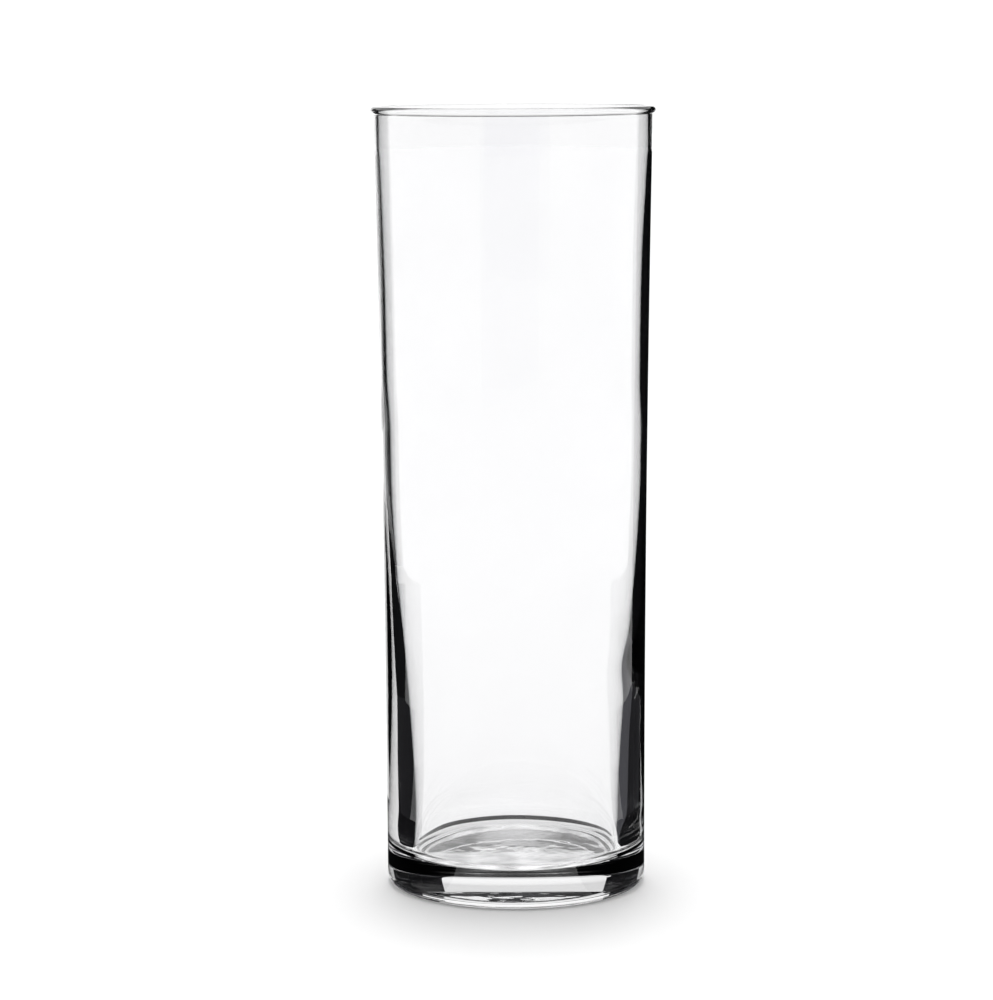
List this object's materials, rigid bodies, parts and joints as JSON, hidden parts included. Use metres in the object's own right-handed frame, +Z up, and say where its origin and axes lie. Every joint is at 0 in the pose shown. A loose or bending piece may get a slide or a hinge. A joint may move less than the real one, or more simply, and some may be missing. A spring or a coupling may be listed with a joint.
{
  "type": "glass cylinder vase",
  "caption": "Tall clear glass cylinder vase with a slightly flared wall, a fire-polished bead round the mouth and a thick foot.",
  "frame": {"origin": "centre of the ring that the vase stands on, on the table's plane", "axes": "+Z runs up the axis of the vase to its mouth; X and Y lie on the table and are free, because the vase is round"},
  "size_m": [0.0904, 0.0904, 0.251],
  "materials": {
    "clear_glass": "fire-polished, clear soda-lime glass"
  },
  "bodies": {
    "root": {"rim_bead": "clear_glass", "side_wall": "clear_glass", "base": "clear_glass"}
  },
  "joints": []
}
